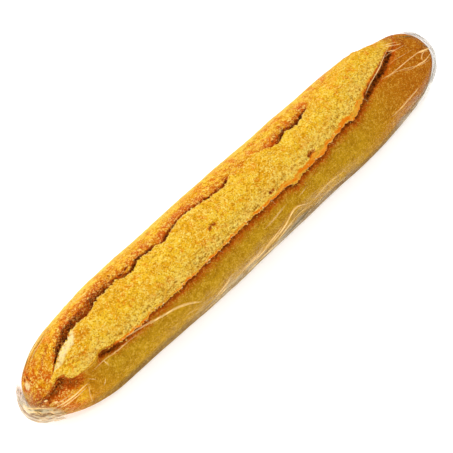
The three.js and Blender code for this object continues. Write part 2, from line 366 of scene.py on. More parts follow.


# Short cracks, dents and pits beside the long edges: the path as (x, angle) knots, how far they reach,
# how deep they are, how dark they are painted, and how pale they look. The dark is painted shade in the
# deeper hollows and the crust's own ember colour in the faint streaks.
DENTS = (
    (((-98, 26), (-94, 25), (-87, 27)), 1.3, 1.4, 1, 0),
    (((4, 27), (9, 26)), 1.0, 0.6, 0.5, 0),
    (((-32, -7.5), (-29, -6), (-27, -7)), 1.2, 1.2, 0.75, 0),
    (((-187, -26), (-184, -29)), 1.6, 1.2, 1, 0),
    (((-186, -44), (-184, -43)), 1.2, 0.8, 0.9, 0),
    (((-190, -14), (-187, -20), (-183, -19)), 1.1, 0.9, 0.6, 0),
    (((-172, -15), (-177, -18), (-181, -22)), 3.4, 1.8, 1, 0),
    (((122, -15.5), (136, -9), (146, -5), (156, 1.4), (164, 8)), 3.9, 1.4, 1, 0),
    (((-144, -27), (-139, -29), (-131, -33)), 3, 1.6, 0.85, 0),
    (((46, 14), (53, 19)), 2.6, 1, 0.3, 0),
    (((43, 17), (44, 20)), 1.6, 1, 0.75, 0),
    (((61, 2), (67, -8)), 3, 0.9, 0.1, 0),
    (((-146, -15), (-155, -10), (-163, -4), (-171, 0)), 1.5, 0.8, 0.2, 0),
    (((-149, -20), (-158, -13), (-166, -8)), 1.3, 0.6, 0.14, 0),
    (((-145, 1), (-139, 4)), 4.5, 0.3, 0.16, 0),
    (((57, -21), (60, -20), (63, -20)), 1.6, 1.2, 0.7, 0),
    (((18, -21.5), (21, -22)), 1.5, 1, 0.7, 0),
    (((-187.5, 28), (-187, 46)), 2.2, 1, 0, 1),
    (((-184.5, 26), (-183.5, 46), (-187, 54)), 1.2, 0.4, 0.7, 0),
    (((-192, 5), (-191, 25)), 2.2, 0.2, 0, 0.3),
    (((-178, 20), (-171, 25), (-163, 33)), 2.6, 0.7, 0.45, 0),
)
# The broad pit in the crust round the lip's last flap, darkened with painted shade under the flap.
NOSE_PIT = ((-186, -32), (-179, -26), (-173, -24), (-167, -32))
PIT_REACH = 10
PIT_DEPTH = 2.8
PIT_SHADE = 0.56
DENT_RAGGED = 1.3 * MM
# A dent counts from this many millimetres of x before its first knot to as many past its last.
DENT_SPREAD = 20
DEGREE = 0.58  # millimetres along the skin for a degree round it, near the top


def from_path(x, angle, knots):
    """How far a place on the skin is from a path, in millimetres; angle in degrees."""
    nearest = math.inf
    for (start_x, start), (end_x, end) in zip(knots, knots[1:]):
        run_x, run = end_x - start_x, (end - start) * DEGREE
        away_x, away = x - start_x, (angle - start) * DEGREE
        share = min(1, max(0, (away_x * run_x + away * run) / (run_x * run_x + run * run)))
        nearest = min(nearest, math.hypot(away_x - share * run_x, away - share * run))
    return nearest


MASKS = "crumb", "rim", "torn", "pale", "scorch", "porous", "grit", "under", "flank"
# Degrees from straight up over which the crust turns dark towards the base, painted shade of the underside
# over a baked bottom that is a little browner, and pale gold on the far side.
NEAR_BASE_SHADE = 77, 92
FAR_BASE_SHADE = 84, 130
FAR_FLANK = 42, 66
# Millimetres of x over which the scorched -X nose ends, the slash takes on its full form, the painted shade
# of the base comes in, and the pale gold comes and goes.
NOSE_SPAN = -184, -156
TAIL_SPAN = -182, -170
BASE_SHADE_SPAN = -180, -135
GOLD_FROM = -176, -136
GOLD_TO = 60, 120
HALF_TONGUE_COLUMNS = 13
BASE_COLUMNS = 6
NEAR_COLUMNS = 17
FAR_COLUMNS = 18
BASE_EDGE_DEGREES = 128
BASE_EDGE = math.radians(BASE_EDGE_DEGREES)


def with_shut(profile):
    """The profile's rows, each with its place along the skin while the slash is shut, even by column."""
    total = sum(row[0] for row in profile[:-1])
    done = 0
    for row in profile:
        yield blend(profile[0][1], profile[-1][1], done / total), *row
        done += row[0]


def lip_rows(slash, rim, nose, tail):
    """The outline's knots over the lip, from the near crust to the tongue."""
    flush = max(0, 1 - slash.curl * 1.7) * slash.rise
    rows = []
    for i, (shut, columns, along, out, masks) in enumerate(with_shut(lip_profile(rim))):
        opened = slash.curl if i < LIP_EDGE else max(slash.curl * 0.6, slash.rise)
        angle = slash.lip + slash.across(blend(shut, along, opened))
        here = {mask: masks[mask] * (slash.curl if mask in ("rim", "torn") else opened) for mask in masks}
        if i < LIP_EDGE:
            here["scorch"] = 0.75 * nose
        else:
            here["pale"] = max(here.get("pale", 0), 0.3 * flush * masks.get("porous", 0))
            here["crumb"] = here.get("crumb", 0) * (0.45 + 0.55 * tail)
            here["scorch"] = 0.8 * (1 - tail)
        rows.append((columns, angle, out * opened, here))
    rows[-1] = (HALF_TONGUE_COLUMNS, *rows[-1][1:])
    return rows


def crack_rows(slash, profile, nose, tail):
    """The outline's knots over the crack, from the tongue to the far crust."""
    opened = min(1, slash.rise * 1.6)
    rows = []
    for shut, columns, along, out, masks in with_shut(profile):
        angle = slash.crack + slash.across(blend(shut, along, opened))
        here = {mask: masks[mask] * opened for mask in masks}
        here["crumb"] = here.get("crumb", 0) * tail
        here["scorch"] = max(here.get("scorch", 0), 0.85 * nose)
        rows.append((columns, angle, out, here))
    rows[-1] = (FAR_COLUMNS, *rows[-1][1:])
    return rows


def bread_rows(x):
    """The outline's knots at x in metres, as (columns, angle, millimetres out, masks), from base to base."""
    x_mm = x / MM
    slash = Slash(x_mm)
    nose = 1 - smooth(x_mm, *NOSE_SPAN)
    tail = smooth(x_mm, *TAIL_SPAN)
    near = lip_rows(slash, RIM_WIDTH(x_mm), nose, tail)
    far = crack_rows(slash, crack_profile(slash, x_mm), nose, tail)
    middle = (near[-1][1] + far[0][1]) / 2
    crown = TONGUE_LIFT * CROWN * slash.rise * (0.5 + 0.5 * tail)
    on_crown = {"crumb": slash.rise * tail, "scorch": 0.8 * (1 - tail)}
    return [
        (BASE_COLUMNS, -math.pi, 0, {}),
        (NEAR_COLUMNS, -BASE_EDGE, 0, {"scorch": 0.2 * nose}),
        *near,
        (HALF_TONGUE_COLUMNS, middle, crown, on_crown),
        *far,
        (BASE_COLUMNS, BASE_EDGE, 0, {}),
        (0, math.pi, 0, {}),
    ]


def knots_of(rows, pick):
    """A track over the column number through one value of each row."""
    column, knots = 0, []
    for row in rows:
        knots.append((column, pick(row)))
        column += row[0]
    return track(*knots)


# Sizes of what makes the skin uneven.
LUMP = 11 * MM
CRAG = 4.6 * MM
FINE_CRAG = 1.7 * MM
SKIN_SWELL = 17 * MM
GRAIN = 1.9 * MM
GRAIN_REACH = 0.62  # share of the grain size over which a grain stands up
PIT_CLUSTER = 6 * MM
PIT = 2.4 * MM


def relief(point, masks):
    """Height of the bread's skin at a point, in millimetres, and its grit: 0 in pits, 1 on grains."""
    crumb, torn, scorch, porous = (masks[mask] for mask in ("crumb", "torn", "scorch", "porous"))
    lumps = noise.noise(point / LUMP)
    crags = noise.noise(point / CRAG + Vector((7, 0, 0)))
    fine = noise.fractal(point / FINE_CRAG, 0.9, 2.1, 2)
    skin = noise.noise(point / SKIN_SWELL + Vector((0, 5, 0)))
    grain = max(0, 1 - (noise.voronoi(point / GRAIN)[0][0] / GRAIN_REACH) ** 2)
    cluster = smooth(noise.noise(point / PIT_CLUSTER + Vector((3, 3, 0))), -0.25, 0.15)
    hollow = noise.fractal(point / PIT + Vector((0, 0, 9)), 0.8, 2.1, 2)
    pit = smooth(hollow, 0.16, 0.6) * cluster * porous
    on_crumb = 0.7 * lumps + 0.45 * crags + 0.25 * fine + 0.4 * grain - 0.8 * pit
    on_torn = 1.1 * crags + 0.5 * fine + 0.4 * grain
    on_crust = 0.25 * skin + 0.04 * fine + scorch * (0.6 * crags + 0.3 * fine + 0.3 * grain)
    bare = max(0, 1 - crumb - torn)
    grit = min(1, max(0, 0.2 + 0.6 * grain + 0.2 * fine - 0.8 * pit))
    return on_crumb * crumb + on_torn * torn + on_crust * bare, grit


def dented(point, x, angle, masks, dents):
    """Deepening at a place by the dents near it, in millimetres, with its masks changed to match."""
    deeper = 0
    rough = 0.35 * noise.noise(point / DENT_RAGGED)
    for knots, reach, depth, torn, pale in dents:
        share = 1 - smooth(from_path(x, angle, knots) / reach + rough, 0.15, 1)
        deeper += depth * share
        masks["torn"] = max(masks["torn"], torn * share)
        masks["pale"] = max(masks["pale"], pale * share)
    away = from_path(x, angle, NOSE_PIT) / PIT_REACH + 0.4 * rough
    share = (1 - smooth(away, 0.05, 1)) * (1 - masks["crumb"])
    masks["torn"] = max(masks["torn"], PIT_SHADE * share)
    return deeper + PIT_DEPTH * share


def bread_ring(x):
    """The bread's fine outline at x: a list of (point, masks, angle)."""
    full = BREAD.fullness(x)
    rows = bread_rows(x)
    columns = sum(row[0] for row in rows)
    angle_at = knots_of(rows, lambda row: row[1])
    out_at = knots_of(rows, lambda row: row[2])
    mask_at = {mask: knots_of(rows, lambda row: row[3].get(mask, 0)) for mask in MASKS}
    x_mm = x / MM
    dents = [dent for dent in DENTS if dent[0][0][0] - DENT_SPREAD < x_mm < dent[0][-1][0] + DENT_SPREAD]
    base_shade = 0.3 + 0.7 * smooth(x_mm, *BASE_SHADE_SPAN)
    golden = smooth(x_mm, *GOLD_FROM) * (1 - smooth(x_mm, *GOLD_TO))
    ring = []
    for column in range(columns):
        masks = {mask: min(1, max(0, mask_at[mask](column))) for mask in MASKS}
        angle = angle_at(column)
        point, outward = BREAD.skin(x, full, angle, out_at(column) * MM * full)
        raised, masks["grit"] = relief(point, masks)
        degrees = math.degrees(angle)
        raised -= dented(point, x_mm, degrees, masks, dents)
        # Painted shade low on the sides, darkening the crust towards the base.
        masks["under"] = max(smooth(-degrees, *NEAR_BASE_SHADE), smooth(degrees, *FAR_BASE_SHADE)) * base_shade
        masks["flank"] = smooth(degrees, *FAR_FLANK) * golden
        point += outward * raised * MM * min(1, full * 2) * smooth(point.z, 0, BASE_ROLL)
        point.z = max(BREAD.lift, point.z)
        ring.append((point, masks, angle))
    return ring


BREAD_STATIONS = 600
FILM_STATIONS = 460
CROWDING = 0.4
SEAM = 0.001 * MM


def stations(form, count):
    """Places along the form, crowding towards the blunt tips."""
    places = []
    for i in range(count + 1):
        even = 2 * i / count - 1
        crowded = math.sin(math.pi / 2 * even)
        share = (blend(even, crowded, CROWDING) + 1) / 2
        places.append(blend(-form.ends[0], form.ends[1], share))
    return places


def started(masks):
    """A new bmesh with a layer for each mask, and those layers by name."""
    bm = bmesh.new()
    for mask in masks:
        bm.verts.layers.float.new(mask)
    return bm, {mask: bm.verts.layers.float[mask] for mask in masks}


def finished(name, bm):
    """An object with a smooth mesh made from bm."""
    mesh = bpy.data.meshes.new(name)
    bm.to_mesh(mesh)
    bm.free()
    mesh.shade_smooth()
    piece = bpy.data.objects.new(name, mesh)
    bpy.context.collection.objects.link(piece)
    return piece


def wrapped_skin(name, rings, masks):
    """One closed skin: a grid whose lines are the rings, drawn to a point at both ends."""
    bm, layers = started(masks)
    around = len(rings[0])
    last = len(rings) - 1
    made = bmesh.ops.create_grid(bm, x_segments=last, y_segments=around, size=1)
    for vert in made["verts"]:
        i = round((vert.co.x + 1) / 2 * last)
        j = round((vert.co.y + 1) / 2 * around) % around
        point, values = rings[i][j][:2]
        vert.co = point
        for mask in masks:
            vert[layers[mask]] = values[mask]
    bmesh.ops.remove_doubles(bm, verts=bm.verts, dist=SEAM)
    bmesh.ops.recalc_face_normals(bm, faces=bm.faces)
    return finished(name, bm)


# ---------------------------------------------------------------------------------------------
# Loose crumbs that cling to the torn edges
# ---------------------------------------------------------------------------------------------

# x from and to, how many, which edge, how far from it they lie and stray, and how dark they are painted: the
# crumbs down in the crack take its painted shade.
CRUMBS = (
    (-170, -145, 60, "crack", -0.3, 0.5, 0),
    (-145, 20, 230, "crack", 0, 0.5, 0.1),
    (44, 90, 50, "crack", 0, 0.5, 0.1),
    (-168, -98, 130, "crack", 5.6, 1.4, 0.55),
    (50, 86, 40, "crack", 5, 1.2, 0.5),
    (-143, 118, 200, "lip", 0.6, 0.7, 0),
    (-182, -165, 40, "lip", -1, 2, 0.6),
)
CRUMB_SEED = 7
CRUMB_RADIUS = 0.3, 0.75  # millimetres
CRUMB_SHAPE = Matrix.Diagonal((1.5, 0.9, 0.7, 1))


def crust_crumbs(places, rings):
    """Scattered crumbs, each a small rough lump sunk in the bread's skin."""
    bm, layers = started(MASKS)
    chance = random.Random(CRUMB_SEED)
    for start, end, count, edge, away, stray, torn in CRUMBS:
        for _ in range(count):
            x_mm = chance.uniform(start, end)
            slash = Slash(x_mm)
            angle = getattr(slash, edge) + slash.across(chance.gauss(away, stray))
            ring = rings[bisect.bisect_left(places, x_mm * MM)]
            centre = min(ring, key=lambda spot: abs(spot[2] - angle))[0]
            reach = chance.uniform(*CRUMB_RADIUS) * MM
            spin = chance.uniform(0, math.tau)
            axis = Vector((chance.random(), chance.random(), 1))
            shape = Matrix.Translation(centre) @ Matrix.Rotation(spin, 4, axis) @ CRUMB_SHAPE
            lump = bmesh.ops.create_icosphere(bm, subdivisions=1, radius=reach, matrix=shape)
            values = {"crumb": 1 - torn, "torn": torn * chance.uniform(0.3, 1.2), "grit": 0.8}
            values["pale"] = 0.8 * (1 - torn) * chance.random() ** 2
            for vert in lump["verts"]:
                vert.co += (vert.co - centre) * 0.6 * noise.noise(vert.co / (0.5 * MM))
                for mask, value in values.items():
                    vert[layers[mask]] = value
    return finished("crust_crumbs", bm)


# ---------------------------------------------------------------------------------------------
# The film
# ---------------------------------------------------------------------------------------------

PLEATS = 13
PLEAT_HEIGHT = 1.0 * MM
PLEAT_REACH = 26 * MM
CRUMPLE_HEIGHT = 0.6 * MM
CRUMPLE_SIZE = 5 * MM
WRINKLE_HEIGHT = 0.16 * MM
WRINKLE_SIZE = 9 * MM
FILM_COLUMNS = 148
UNDER_COLUMNS = 8
CELL = math.radians(1.5)
CELLS = round(2 * BASE_EDGE / CELL)
CLEARANCE = 0.35 * MM


def window(rows, reach, pick):
    """Each value of the rows replaced by a pick from its neighbours within reach along its row."""
    return [[pick(row[max(0, j - reach):j + reach + 1]) for j in range(len(row))] for row in rows]


def mean(values):
    return sum(values) / len(values)


class Drape:
    """How far the bread holds the film out of its own plain form: the film bridges the bread's hollows."""

    CELLS_ACROSS = 5
    PLACES_ALONG = 5

    def __init__(self, places, rings):
        self.places = places
        rows = [self.proud(x, ring) for x, ring in zip(places, rings)]
        for pick in max, mean:
            rows = window(rows, self.CELLS_ACROSS, pick)
            rows = zip(*window(zip(*rows), self.PLACES_ALONG, pick))
        self.rows = list(rows)

    def proud(self, x, ring):
        """The bread's greatest rise out of the film's plain form in each cell round the loaf."""
        full = FILM.fullness(x)
        cells = [-CLEARANCE] * CELLS
        before = None
        for point, _, angle in ring:
            if abs(angle) >= BASE_EDGE:
                continue
            plain, outward = FILM.skin(x, full, angle, 0)
            rise = (point - plain).dot(outward)
            place = (angle + BASE_EDGE) / CELL
            if before:
                steps = max(1, math.ceil(abs(place - before[0])))
                for step in range(1, steps + 1):
                    cell = min(CELLS - 1, int(blend(before[0], place, step / steps)))
                    cells[cell] = max(cells[cell], blend(before[1], rise, step / steps))
            before = place, rise
        return cells

    def out(self, x, angle):
        """How far the film stands out of its plain form there, in metres."""
        if abs(angle) >= BASE_EDGE:
            return 0
        i = min(len(self.places) - 2, max(0, bisect.bisect_right(self.places, x) - 1))
        along = min(1, max(0, (x - self.places[i]) / (self.places[i + 1] - self.places[i])))
        place = min(CELLS - 1.001, max(0, (angle + BASE_EDGE) / CELL - 0.5))
        j = int(place)
        near, far = (blend(row[j], row[j + 1], place - j) for row in self.rows[i:i + 2])
        return max(0, blend(near, far, along) + CLEARANCE)


# How milky the film looks, with painted sheen for its reflection where it turns away towards the silhouette:
# low down all along, by the angle in degrees, and higher up the near side where it is slack, by the angle
# and by x in millimetres.
LOW_HAZE_AND_SHEEN = track(
    (-180, 0.1), (-128, 0.3), (-110, 0.15), (-98, 0.05), (-88, 0), (70, 0), (90, 0.12), (128, 0.3),
    (180, 0.1),
)
SLACK_HAZE_AND_SHEEN = track((-128, 0.1), (-104, 0.12), (-94, 0.4), (-86, 0.8), (-78, 0.6), (-66, 0.24), (-54, 0))
SLACK_ALONG = track(
    (-190, 0.5), (-178, 0.4), (-165, 0.1), (-120, 0.08), (-88, 0.3), (-62, 0.75), (-46, 1), (44, 1),
    (66, 0.6), (92, 0.15), (122, 0.2), (142, 0.8), (165, 1),
)
# How far along x the bread reaches at each nose, by the angle in degrees: beyond, the film is gathered.
BREAD_REACH = track(
    (-180, -184), (-90, -183), (-77, -183.5), (-63, -185), (-50, -188.5), (-40, -191.5), (-20, -195),
    (12, -197), (36, -197), (60, -195), (90, -189), (180, -184),
)
FAR_REACH = track(
    (-180, 180), (-90, 184), (-76, 188), (-58, 192), (-40, 195), (-20, 196.5), (30, 197), (60, 195),
    (90, 191), (180, 180),
)


def film_point(x, angle, out, full):
    """Point of the wrinkled film at x and angle, raised out of the loaf's form."""
    point, outward = FILM.skin(x, full, angle, out)
    gathered = smooth(abs(x), END - PLEAT_REACH, END - 4 * MM)
    fold = PLEATS / 2 * angle + 1.2 * wander(x / (9 * MM), 3) + 0.9 * wander(x / (5 * MM), angle * 2)
    pleat = PLEAT_HEIGHT * gathered * (1 - abs(math.sin(fold))) * full
    crumple = CRUMPLE_HEIGHT * gathered * (1 - 2 * abs(noise.noise(point / CRUMPLE_SIZE))) * min(1, full * 3)
    slant = Vector((x * 0.5 + point.y * 0.9, point.z * 0.8, x * 0.12)) / WRINKLE_SIZE
    wrinkle = WRINKLE_HEIGHT * noise.noise(slant) * min(1, full * 2)
    return point + outward * (pleat + crumple + wrinkle) * smooth(point.z, 0, BASE_ROLL)


def film_angles():
    """Angles of the film's columns round the loaf, close together but for the base."""
    under = (math.pi - BASE_EDGE) / UNDER_COLUMNS
    angles = [-math.pi + under * i for i in range(UNDER_COLUMNS)]
    angles += [-BASE_EDGE + 2 * BASE_EDGE * i / FILM_COLUMNS for i in range(FILM_COLUMNS)]
    return angles + [BASE_EDGE + under * i for i in range(UNDER_COLUMNS)]


def film_ring(x, drape):
    """The film's outline at x over the bread: a list of (point, masks)."""
    full = FILM.fullness(x)
    x_mm = x / MM
    gathered = 0.5 * smooth(abs(x), END - 14 * MM, END - 2 * MM)
    slack = max(0, SLACK_ALONG(x_mm))
    ring = []
    for angle in film_angles():
        point = film_point(x, angle, drape.out(x, angle), full)
        degrees = math.degrees(angle)
        # Milky haze low down and at the tips, with painted sheen where the slack near side turns away at the
        # silhouette.
        on_side = slack * max(0, SLACK_HAZE_AND_SHEEN(degrees)) * (degrees > -BASE_EDGE_DEGREES)
        milk = max(0, LOW_HAZE_AND_SHEEN(degrees)) + on_side + gathered
        near, far = BREAD_REACH(degrees), FAR_REACH(degrees)
        at_near = 1 - smooth(x_mm, near - 2, near + 2)
        at_far = 0.85 * smooth(x_mm, far - 3, far + 4)
        ring.append((point, {"milk": min(1, milk), "gather": max(at_near, at_far)}))
    return ring


# Creases that stand out of the film, their catching of the light painted as a cream highlight that glows a
# little: (x, angle) knots in millimetres and degrees, width and height in millimetres, and how bright the
# painted highlight is.
CREASES = (
    (
        ((-129, -30), (-112, -35), (-99, -41), (-91, -44), (-83, -48), (-76, -54), (-71, -60), (-66, -68)),
        2.2, 0.5, 0.9,
    ),
    (((-156, -34), (-146, -33), (-134, -36), (-122, -37), (-112, -41)), 1.3, 0.3, 0.45),
    (((-26, -76), (-12, -75), (-6, -71), (0, -69), (8, -66), (14, -62)), 1.7, 0.5, 0.9),
    (
        ((-20, -80), (-8, -74), (5, -71), (12, -68), (17, -64), (23, -59), (28, -58), (33, -62), (40, -72)),
        2.0, 0.6, 1,
    ),
    (((-45, -84), (-34, -76), (-24, -74), (-14, -71), (-6, -66)), 3.4, 0.4, 0.45),
    (((-60, -80), (-52, -75), (-44, -71), (-37, -64)), 2.6, 0.4, 0.5),
    (((-58, -86), (-50, -80), (-45, -78)), 1.3, 0.5, 0.8),
    (((-2, -49), (7, -48), (15, -46), (24, -43)), 2.4, 0.3, 0.4),
    (((34, -48), (38, -46), (43, -44)), 1.2, 0.3, 0.4),
    (((40, -72), (52, -66), (64, -66), (78, -70)), 2.2, 0.4, 0.5),
    (((-84, -66), (-76, -68), (-70, -74)), 1.4, 0.3, 0.5),
    (((138, -12), (150, -15), (165, -15.5), (175, -17), (184, -21), (193, -32)), 1.2, 0.5, 0.8),
    (((144, -16), (155, -17), (166, -25), (177, -37), (190, -50)), 0.9, 0.4, 0.6),
    (((162, 17), (170, 12), (178, 7)), 1.4, 0.5, 0.9),
    (((164, 20), (170, 17), (177, 14)), 1.3, 0.4, 0.8),
    (((161, 8), (165, 6), (169, 4)), 1.2, 0.4, 0.8),
    (((158, -20), (166, -28), (174, -32), (180, -37), (187, -40), (192, -43)), 1.2, 0.4, 0.75),
    (((180, -37), (179, -31), (183, -26), (188, -29), (188, -38)), 0.9, 0.4, 0.8),
    (((180, -19), (187, -26), (195, -36)), 1.6, 0.8, 1),
    (((127, -57), (135, -59), (149, -59), (157, -58), (164, -57)), 1.5, 0.4, 0.7),
    (((-190, -60), (-185, -54), (-177, -49), (-172, -47), (-166, -44), (-160, -44)), 1.5, 0.6, 0.95),
    (((-189, -66), (-184, -60), (-177, -54), (-170, -50), (-163, -47)), 1.3, 0.5, 0.9),
    (((-162, -44), (-165, -62), (-166, -82)), 1.2, 0.4, 0.6),
    (((-197, 36), (-197.5, -4), (-195, -26), (-190, -46), (-184, -56)), 1.4, 0.7, 0.95),
    (((-198.6, 30), (-198.3, -23), (-194.5, -45), (-194, -70)), 1.2, 0.7, 0.9),
    (((-196, -20), (-196, -45), (-194, -62)), 1.0, 0.6, 0.9),
    (((-190, -50), (-189, -62), (-188, -78)), 1.1, 0.6, 0.9),
    (((-184, 46), (-176, 53), (-168, 54), (-156, 51), (-146, 50)), 1.1, 0.5, 0.8),
    (((-178, 38), (-170, 45), (-162, 45), (-152, 46)), 1.0, 0.4, 0.6),
    (((-132, 52), (-124, 44), (-116, 40)), 1.3, 0.5, 0.8),
    (((119, -15), (130, -9), (140, -5), (150, 0), (160, 7), (168, 14)), 1.0, 0.3, 0.8),
    (((150, 2), (160, 4), (170, 4), (180, 3)), 0.9, 0.3, 0.5),
    (((152, -6), (162, -5), (172, -7), (182, -10)), 0.8, 0.3, 0.4),
    (((-10, -84), (4, -78), (18, -72), (30, -70), (44, -78)), 1.6, 0.4, 0.7),
    (((-34, -90), (-20, -86), (-6, -84), (8, -88)), 1.8, 0.4, 0.7),
    (((30, -86), (46, -80), (60, -78), (74, -84)), 1.6, 0.4, 0.6),
    (((-74, -90), (-62, -86), (-50, -88)), 1.6, 0.4, 0.6),
    (((-186, 46), (-180, 53), (-172, 57), (-162, 60), (-150, 62)), 1.8, 0.4, 0.9),
    (((-178, 50), (-170, 53), (-160, 56), (-148, 60), (-136, 62)), 1.2, 0.4, 0.7),
    (((-146, -32), (-145, -38), (-144, -45)), 1.0, 0.4, 0.8),
    (((-161, -37), (-158, -43), (-156, -47)), 0.9, 0.3, 0.7),
    (((-151, -54), (-153, -59), (-155, -64)), 0.9, 0.3, 0.6),
    (((-189, -26), (-188, -28), (-186.5, -30)), 1.8, 0.5, 1),
    (((-186, -40), (-184, -42), (-182.5, -43)), 1.8, 0.5, 1),
    (((-192, -33), (-191, -35), (-190, -37)), 1.6, 0.5, 1),
    (((-190, -44), (-183, -45), (-176, -43), (-170, -40)), 1.0, 0.4, 0.6),
)
# Folds that stay dark, painted with shade: the film doubled over low on the near side and round both noses.
FOLDS = (
    (((4, -84), (18, -84), (31, -82), (37, -80), (46, -85)), 1.6, 0.8, 0.9),
    (((20, -72), (28, -68), (35, -70)), 1.0, 0.4, 0.6),
    (((-197.2, 20), (-197, -20), (-192.5, -44), (-187, -58)), 0.9, 0.4, 0.8),
    (((-198, -30), (-196, -55), (-193, -75)), 0.9, 0.4, 0.8),
    (((-190, 42), (-183, 48), (-174, 54), (-164, 58), (-150, 60)), 1.8, 0.4, 1),
    (((-177, 40), (-168, 46), (-156, 51), (-144, 55)), 1.3, 0.3, 0.8),
    (((194, -48), (190, -62), (182, -70), (170, -75), (156, -78)), 0.9, 0.3, 0.6),
    (((190, -42), (186, -54), (178, -62), (166, -67), (150, -71)), 0.8, 0.3, 0.4),
    (((-197.6, 0), (-197, -26), (-194, -44), (-190, -54), (-186, -62)), 0.9, 0.5, 0.9),
    (((-196, -60), (-192, -70), (-187, -76), (-180, -80)), 0.9, 0.4, 0.8),
    (((188, -10), (191, -25), (192, -34)), 1.2, 0.4, 0.9),
    (((182, 22), (188, 14), (191, 2)), 1.3, 0.4, 1),
    (((178, 26), (184, 20), (187, 12)), 1.0, 0.4, 0.8),
    (((193, 22), (195, 6), (195, -12)), 1.0, 0.4, 0.8),
)
# Where the film snags on the lip, as (x, length down the crust in degrees).
SNAGS = ((-107, 8), (-38, 5), (14, 8), (76, 5), (118, 6))
# A snag's width and height, and how bright its painted highlight is.
SNAG_FORM = 0.8, 0.3, 0.35  # width, height and brightness
CREASE_STEP = 2.5
CREASE_ACROSS = 4
OFF_FILM = 0.1 * MM


def crease(bm, layers, drape, painted_shade, knots, width, height, strength):
    """Adds one crease to bm: a narrow ridge along its path, fading out at both ends."""
    count = len(knots) - 1
    x_at = track(*[(i / count, x) for i, (x, _) in enumerate(knots)])
    angle_at = track(*[(i / count, angle) for i, (_, angle) in enumerate(knots)])

    def spot(share):
        x = x_at(share) * MM
        angle = math.radians(angle_at(share))
        return FILM.skin(x, FILM.fullness(x), angle, drape.out(x, angle) + OFF_FILM)

    run = [math.dist((a[0], a[1] * DEGREE), (b[0], b[1] * DEGREE)) for a, b in zip(knots, knots[1:])]
    steps = max(8, round(sum(run) / CREASE_STEP))
    made = bmesh.ops.create_grid(bm, x_segments=steps, y_segments=CREASE_ACROSS, size=1)
    for vert in made["verts"]:
        share, side = (vert.co.x + 1) / 2, vert.co.y
        point, outward = spot(share)
        ahead = spot(min(1, share + 0.02))[0] - spot(max(0, share - 0.02))[0]
        sideways = ahead.cross(outward).normalized()
        fade = math.sin(math.pi * share) ** 0.6
        ridge = (1 - abs(side)) * fade
        vert[layers["ridge"]] = ridge * strength
        vert[layers["fold"]] = painted_shade
        spread = width * (0.3 + 0.7 * fade) * (1 + 0.3 * wander(share * 9, width * 7))
        vert.co = point + (sideways * side * spread / 2 + outward * ridge * height) * MM


def film_creases(drape):
    """All the ridges with painted highlights, folds with painted shade, and snags of the film."""
    bm, layers = started(("ridge", "fold"))
    for made in CREASES:
        crease(bm, layers, drape, 0, *made)
    for made in FOLDS:
        crease(bm, layers, drape, 1, *made)
    for x, length in SNAGS:
        lip = LIP_ANGLE(x)
        knots = (x - 1.5, lip + 3), (x, lip), (x + 1.5, lip - length)
        crease(bm, layers, drape, 0, knots, *SNAG_FORM)
    return finished("film_creases", bm)


# ---------------------------------------------------------------------------------------------
# Materials
# ---------------------------------------------------------------------------------------------


class Wiring:
    """A node tree being wired. Each method adds a node and returns the socket that it gives."""

    def __init__(self, tree):
        self.tree = tree

    def add(self, kind, inputs=None, **settings):
        made = self.tree.nodes.new("ShaderNode" + kind)
        for name, value in settings.items():
            setattr(made, name, value)
        for name, value in (inputs or {}).items():
            self.feed(made.inputs[name], value)
        return made

    def feed(self, socket, value):
        if isinstance(value, bpy.types.NodeSocket):
            self.tree.links.new(value, socket)
        else:
            socket.default_value = value

    def place(self):
        return self.add("TexCoord").outputs["Object"]

    def mask(self, name):
        return self.add("Attribute", attribute_name=name).outputs["Fac"]

    def noise(self, place, size, detail, roughness, distortion=0.0):
        """Soft noise whose blotches are about size metres across."""
        inputs = {"Vector": place, "Scale": 1 / size, "Detail": detail, "Roughness": roughness}
        return self.add("TexNoise", {**inputs, "Distortion": distortion}).outputs["Fac"]

    def stretched(self, place, along, turn=(0, 0, 0)):
        return self.add("Mapping", {"Vector": place, "Scale": along, "Rotation": turn}).outputs["Vector"]

    def between(self, value, low, high, to_low=0.0, to_high=1.0):
        """The value's share of low to high, clamped, on a new scale."""
        inputs = {"Value": value, "From Min": low, "From Max": high, "To Min": to_low, "To Max": to_high}
        return self.add("MapRange", inputs, interpolation_type="SMOOTHSTEP").outputs["Result"]

    def maths(self, operation, a, b):
        made = self.add("Math", operation=operation)
        self.feed(made.inputs[0], a)
        self.feed(made.inputs[1], b)
        return made.outputs["Value"]

    def both(self, a, b):
        return self.maths("MULTIPLY", a, b)

    def most(self, a, b):
        return self.maths("MAXIMUM", a, b)

    def mix(self, share, a, b):
        made = self.add("Mix", data_type="RGBA")
        self.feed(made.inputs[0], share)
        self.feed(made.inputs[6], a)
        self.feed(made.inputs[7], b)
        return made.outputs[2]

    def bump(self, strength, distance, height):
        inputs = {"Strength": strength, "Distance": distance, "Height": height}
        return self.add("Bump", inputs).outputs["Normal"]


def colour(red, green, blue):
    """A colour from its everyday 0 to 255 screen values."""

    def linear(value):
        share = value / 255
        return share / 12.92 if share <= 0.04045 else ((share + 0.055) / 1.055) ** 2.4

    return linear(red), linear(green), linear(blue), 1.0


def effect_group(name, values_in, values_out):
    """An empty shader node group with a place and named values, and the wiring of its inside."""
    group = bpy.data.node_groups.new(name, "ShaderNodeTree")
    group.interface.new_socket("Place", in_out="INPUT", socket_type="NodeSocketVector")
    for label in values_in:
        group.interface.new_socket(label, in_out="INPUT", socket_type="NodeSocketFloat")
    for label in values_out:
        group.interface.new_socket(label, in_out="OUTPUT", socket_type="NodeSocketFloat")
    start = group.nodes.new("NodeGroupInput")
    end = group.nodes.new("NodeGroupOutput")
    return group, Wiring(group), start.outputs, end.inputs


